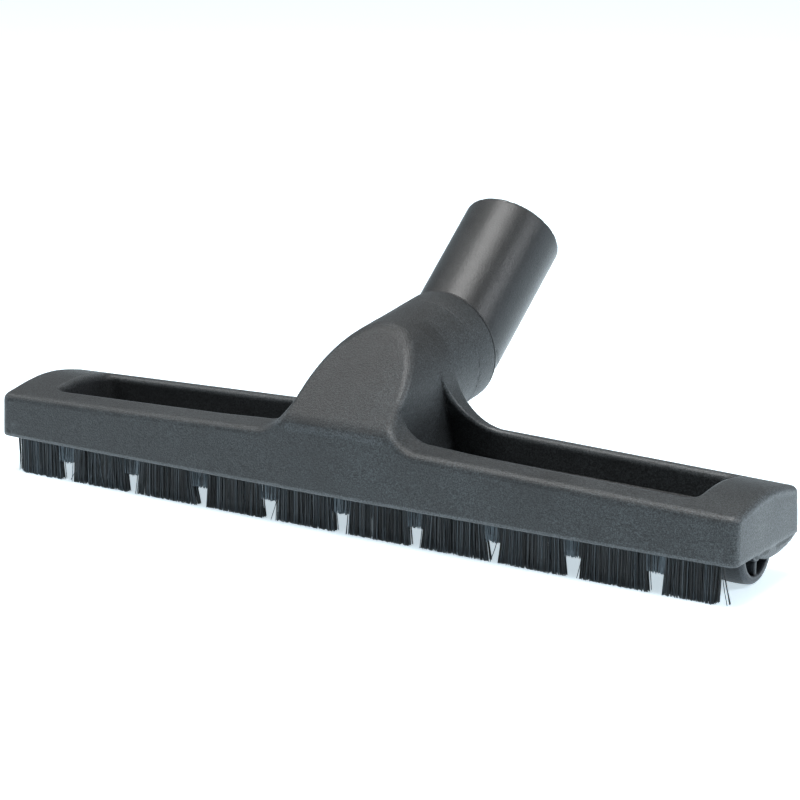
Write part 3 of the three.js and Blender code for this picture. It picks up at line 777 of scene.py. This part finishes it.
# ---- bristles ------------------------------------------------------------------------------------
def bristle_tree():
    """Filaments on a strip: cut short in the notches, splayed beside them, a few bent astray."""
    group = bpy.data.node_groups.new("brush_strip", "GeometryNodeTree")
    sizes = [("Strip half", 100.0), ("Strip y", 0.0), ("Spread", 0.5), ("Filaments", 1000), ("Root", 5.5),
             ("Reach", 14.7), ("Notch pitch", 32.2), ("Notch width", 7.5), ("Notch reach", 7.2),
             ("Notches", 1.0), ("Notch pull", 2.0), ("End slant", 0.0), ("Thickness", 0.17), ("Seed", 1)]
    for name, value in sizes:
        kind = "NodeSocketInt" if isinstance(value, int) else "NodeSocketFloat"
        group.interface.new_socket(name, in_out="INPUT", socket_type=kind).default_value = value
    group.interface.new_socket("Finish", in_out="INPUT", socket_type="NodeSocketMaterial")
    group.interface.new_socket("Geometry", in_out="OUTPUT", socket_type="NodeSocketGeometry")
    tree = Tree(group)
    strip_spread, pull_zone, end_zone = 1.15, 5.5, 4.5
    given = tree.add("NodeGroupInput")
    seed = given["Seed"]

    def chance(low, high, number, **inputs):
        fields = {2: low, 3: high, 8: seed + number, **inputs}
        return tree.add("FunctionNodeRandomValue", {"data_type": "FLOAT"}, fields)[1]

    points = tree.add("GeometryNodePoints", None, {"Count": given["Filaments"]})[0]
    across = chance(-1.0, 1.0, 2)
    x = chance(-1.0, 1.0, 1) * (given["Strip half"] - given["Thickness"] - given["End slant"] * (across + 1))
    y = given["Strip y"] + across * strip_spread
    root = tree.add("ShaderNodeCombineXYZ", None, {0: x, 1: y, 2: given["Root"]})[0]
    points = tree.add("GeometryNodeSetPosition", None, {"Geometry": points, "Position": root})[0]

    place = tree.add("ShaderNodeSeparateXYZ", None, {0: tree.add("GeometryNodeInputPosition")[0]})
    half_pitch = given["Notch pitch"] * 0.5
    from_notch = tree.maths("WRAP", place[0], half_pitch, 0 - half_pitch)
    gap = from_notch.size()
    in_notch = given["Notches"] * (given["Notch width"] * 0.5 - gap).over(0.0)
    reach = given["Reach"] - chance(0.0, 1.0, 3) ** 4 * 0.4
    reach = reach + in_notch * (given["Notch reach"] - given["Reach"] + chance(-0.5, 0.4, 4))
    side = tree.maths("SIGN", from_notch)
    tuft = tree.maths("FLOOR", place[0] / half_pitch)
    edge_pull = (1 - (gap - given["Notch width"] * 0.5) / pull_zone).at_least(0.0).at_most(1.0)
    pull = given["Notch pull"] * chance(0.35, 1.25, 7, ID=tuft) * given["Notches"]
    end_pull = (place[0].size() - given["Strip half"] + end_zone).at_least(0.0) / end_zone
    reach = reach - end_pull ** 2 * 1.5
    stray = chance(0.0, 1.0, 5) ** 60
    end_stray = chance(0.0, 1.0, 14).over(0.86) * end_pull.over(0.55) * place[0].over(0.0)
    lean_x = chance(-0.3, 0.3, 6) - side * edge_pull * pull * chance(0.8, 1.1, 15)
    lean_x = lean_x + tree.maths("SIGN", place[0]) * (end_stray * 4.2 - end_pull * chance(1.3, 2.0, 8))
    lean_x = (lean_x + stray * chance(-8.0, 8.0, 9)) * (1 - in_notch * 0.6)
    # Painted highlight: the short filaments in the notches and the tufts at the left end are lightened as if
    # lit; it rides in the "tint" attribute on top of each filament's random tone.
    painted_sheen = in_notch * 0.5 + (0 - place[0]).smooth(105.0, 150.0) * 0.22
    lean_y = across * given["Spread"] + chance(-0.3, 0.3, 10)
    curl = chance(-0.15, 0.15, 11)

    for name, value in (("reach", reach), ("lean_x", lean_x), ("lean_y", lean_y), ("curl", curl),
                        ("tint", chance(0.0, 1.0, 12) + painted_sheen)):
        points = tree.add("GeometryNodeStoreNamedAttribute", {"data_type": "FLOAT", "domain": "POINT"},
                          {"Geometry": points, "Name": name, "Value": value})[0]

    rod = tree.add("GeometryNodeMeshCylinder", {"fill_type": "NGON"},
                   {"Vertices": 3, "Side Segments": 4, "Radius": given["Thickness"], "Depth": 1.0})["Mesh"]
    rod_place = tree.add("ShaderNodeSeparateXYZ", None, {0: tree.add("GeometryNodeInputPosition")[0]})
    rod = tree.add("GeometryNodeStoreNamedAttribute", {"data_type": "FLOAT", "domain": "POINT"},
                   {"Geometry": rod, "Name": "along", "Value": 0.5 - rod_place[2]})[0]
    turn = tree.add("ShaderNodeCombineXYZ", None, {2: chance(0.0, 6.28, 13)})[0]
    brush = tree.add("GeometryNodeInstanceOnPoints", None,
                     {"Points": points, "Instance": rod, "Rotation": turn})[0]
    brush = tree.add("GeometryNodeRealizeInstances", None, {"Geometry": brush})[0]

    def kept(name):
        return tree.add("GeometryNodeInputNamedAttribute", {"data_type": "FLOAT"}, {"Name": name})[0]

    along = kept("along")
    bend = along ** 1.7
    sag = along * (1 - along) * 4
    drop = -0.5 - along * (kept("reach") + given["Root"] - 1.0)
    shift = tree.add("ShaderNodeCombineXYZ", None, {0: bend * kept("lean_x") + sag * kept("curl"),
                                                    1: along * kept("lean_y"), 2: drop})[0]
    brush = tree.add("GeometryNodeSetPosition", None, {"Geometry": brush, "Offset": shift})[0]
    smooth = tree.add("GeometryNodeSetShadeSmooth", None, {"Geometry": brush})[0]
    brush = tree.add("GeometryNodeSetMaterial", None, {"Geometry": smooth, "Material": given["Finish"]})[0]
    tree.add("NodeGroupOutput", None, {"Geometry": brush})
    return group


def grown(name, group, values):
    """Runs a geometry tree once and keeps its result as a plain mesh in the row frame."""
    holder = bpy.data.objects.new(name + "_source", bpy.data.meshes.new(name + "_source"))
    bpy.context.scene.collection.objects.link(holder)
    modifier = holder.modifiers.new("grow", "NODES")
    modifier.node_group = group
    sockets = [item for item in group.interface.items_tree if item.in_out == "INPUT"]
    identifiers = {socket.name: socket.identifier for socket in sockets}
    for key, value in values.items():
        modifier[identifiers[key]] = value
    bpy.context.view_layer.update()
    evaluated = holder.evaluated_get(bpy.context.evaluated_depsgraph_get())
    mesh = bpy.data.meshes.new_from_object(evaluated, preserve_all_data_layers=True,
                                           depsgraph=bpy.context.evaluated_depsgraph_get())
    bpy.data.objects.remove(holder)
    mesh.transform(Matrix.Translation(ORIGIN) @ Matrix.Scale(MM, 4))
    mesh.name = name
    piece = bpy.data.objects.new(name, mesh)
    bpy.context.scene.collection.objects.link(piece)
    return piece


brush_strip = bristle_tree()
strips = [
    ("front_brush", "front_bristles", {"Strip half": STRIP_HALF, "Strip y": -STRIP_Y, "Filaments": 6800,
                                      "End slant": 0.8, "Seed": 11}),
    ("rear_brush", "rear_bristles", {"Strip half": REAR_STRIP_HALF, "Strip y": STRIP_Y, "Filaments": 5600,
                                     "Notches": 0.0, "Seed": 23}),
]
for name, node, values in strips:
    values = {"Reach": BRISTLE_REACH, "Notch pitch": NOTCH_PITCH, "Notch width": NOTCH_WIDTH,
              "Notch reach": -NOTCH_TOP, "Finish": bristle_nylon, **values}
    brush = grown(name, brush_strip, values)
    stand_for(brush, "head", "bristle", None, node)

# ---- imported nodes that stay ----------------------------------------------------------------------
kept_finishes = {"sole_plate": sole_plastic, "front_strip_back": strip_plastic,
                 "rear_strip_back": strip_plastic, "seal_ring": seal_rubber,
                 "wheel_pin_left": pin_steel, "wheel_pin_right": pin_steel}
kept_finishes.update({name: screw_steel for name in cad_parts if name.startswith("sole_screw")})
for name, material in kept_finishes.items():
    dress(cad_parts[name], material)


# ---- studio --------------------------------------------------------------------------------------
def facing(place, target):
    return (Vector(target) - Vector(place)).to_track_quat("-Z", "Y").to_euler()


def panel_light(name, place, target, size, power, colour):
    lamp = bpy.data.lights.new(name, "AREA")
    lamp.shape, lamp.size, lamp.size_y = "RECTANGLE", *size
    lamp.energy, lamp.color = power, colour
    holder = bpy.data.objects.new(name, lamp)
    holder.location, holder.rotation_euler = place, facing(place, target)
    bpy.context.scene.collection.objects.link(holder)


floor_mesh = bpy.data.meshes.new("studio_floor")
floor_mesh.from_pydata([(-6, -6, 0), (6, -6, 0), (6, 6, 0), (-6, 6, 0)], [], [(0, 1, 2, 3)])
studio_floor = bpy.data.objects.new("studio_floor", floor_mesh)
bpy.context.scene.collection.objects.link(studio_floor)
dress(studio_floor, floor_material("studio_floor"))

world = bpy.data.worlds.new("studio")
bpy.context.scene.world = world
world.use_nodes = True
world.node_tree.nodes.clear()
sky = Tree(world.node_tree)
direction = sky.add("ShaderNodeSeparateXYZ", None, {0: sky.add("ShaderNodeTexCoord")["Generated"]})
sideways = (direction[1] * 0.9 - direction[0] * 0.3).smooth(-0.3, 1.0)
low_air = sky.blend(sideways, (0.19, 0.26, 0.32), (0.37, 0.43, 0.47))
air = sky.blend(direction[2].smooth(0.05, 0.8), low_air, (0.50, 0.50, 0.49))
dark_corner = (direction[0] * 0.53 - direction[1] * 0.84).smooth(0.45, 0.9)
air = sky.tint(air, 1 - dark_corner * 0.85)
# The backdrop is plain white; the soft blue-grey air only lights the object.
seen = sky.add("ShaderNodeLightPath")["Is Camera Ray"]
shown = sky.add("ShaderNodeBackground", None, {"Color": sky.blend(seen, air, (1.0, 1.0, 1.0))})
sky.add("ShaderNodeOutputWorld", None, {"Surface": shown[0]})

middle = (0, -0.03, 0.03)
panel_light("overhead", (-0.05, -0.15, 1.2), middle, (0.8, 0.55), 14, (0.99, 0.99, 0.985))
panel_light("upper_left", (-1.0, -0.35, 1.1), middle, (0.7, 0.7), 6, (0.97, 0.99, 1.0))
panel_light("right_rear", (1.1, 0.95, 0.22), middle, (0.3, 0.6), 2.0, (0.82, 0.91, 1.0))
panel_light("upper_right", (1.0, 0.15, 0.75), middle, (0.4, 0.4), 5, (0.93, 0.96, 1.0))

AZIMUTH, ELEVATION = math.radians(32.669), math.radians(14.231)
DISTANCE = 0.9429
target = Vector((0.01172, -0.0424, 0.04712))
back = Vector((math.sin(AZIMUTH) * math.cos(ELEVATION), -math.cos(AZIMUTH) * math.cos(ELEVATION),
               math.sin(ELEVATION)))
lens = bpy.data.cameras.new("camera")
lens.lens, lens.sensor_width = 115.93, 36
camera = bpy.data.objects.new("camera", lens)
camera.location = target + back * DISTANCE
camera.rotation_euler = facing(camera.location, target)
bpy.context.scene.collection.objects.link(camera)
bpy.context.scene.camera = camera
bpy.context.scene.view_settings.view_transform = "Standard"
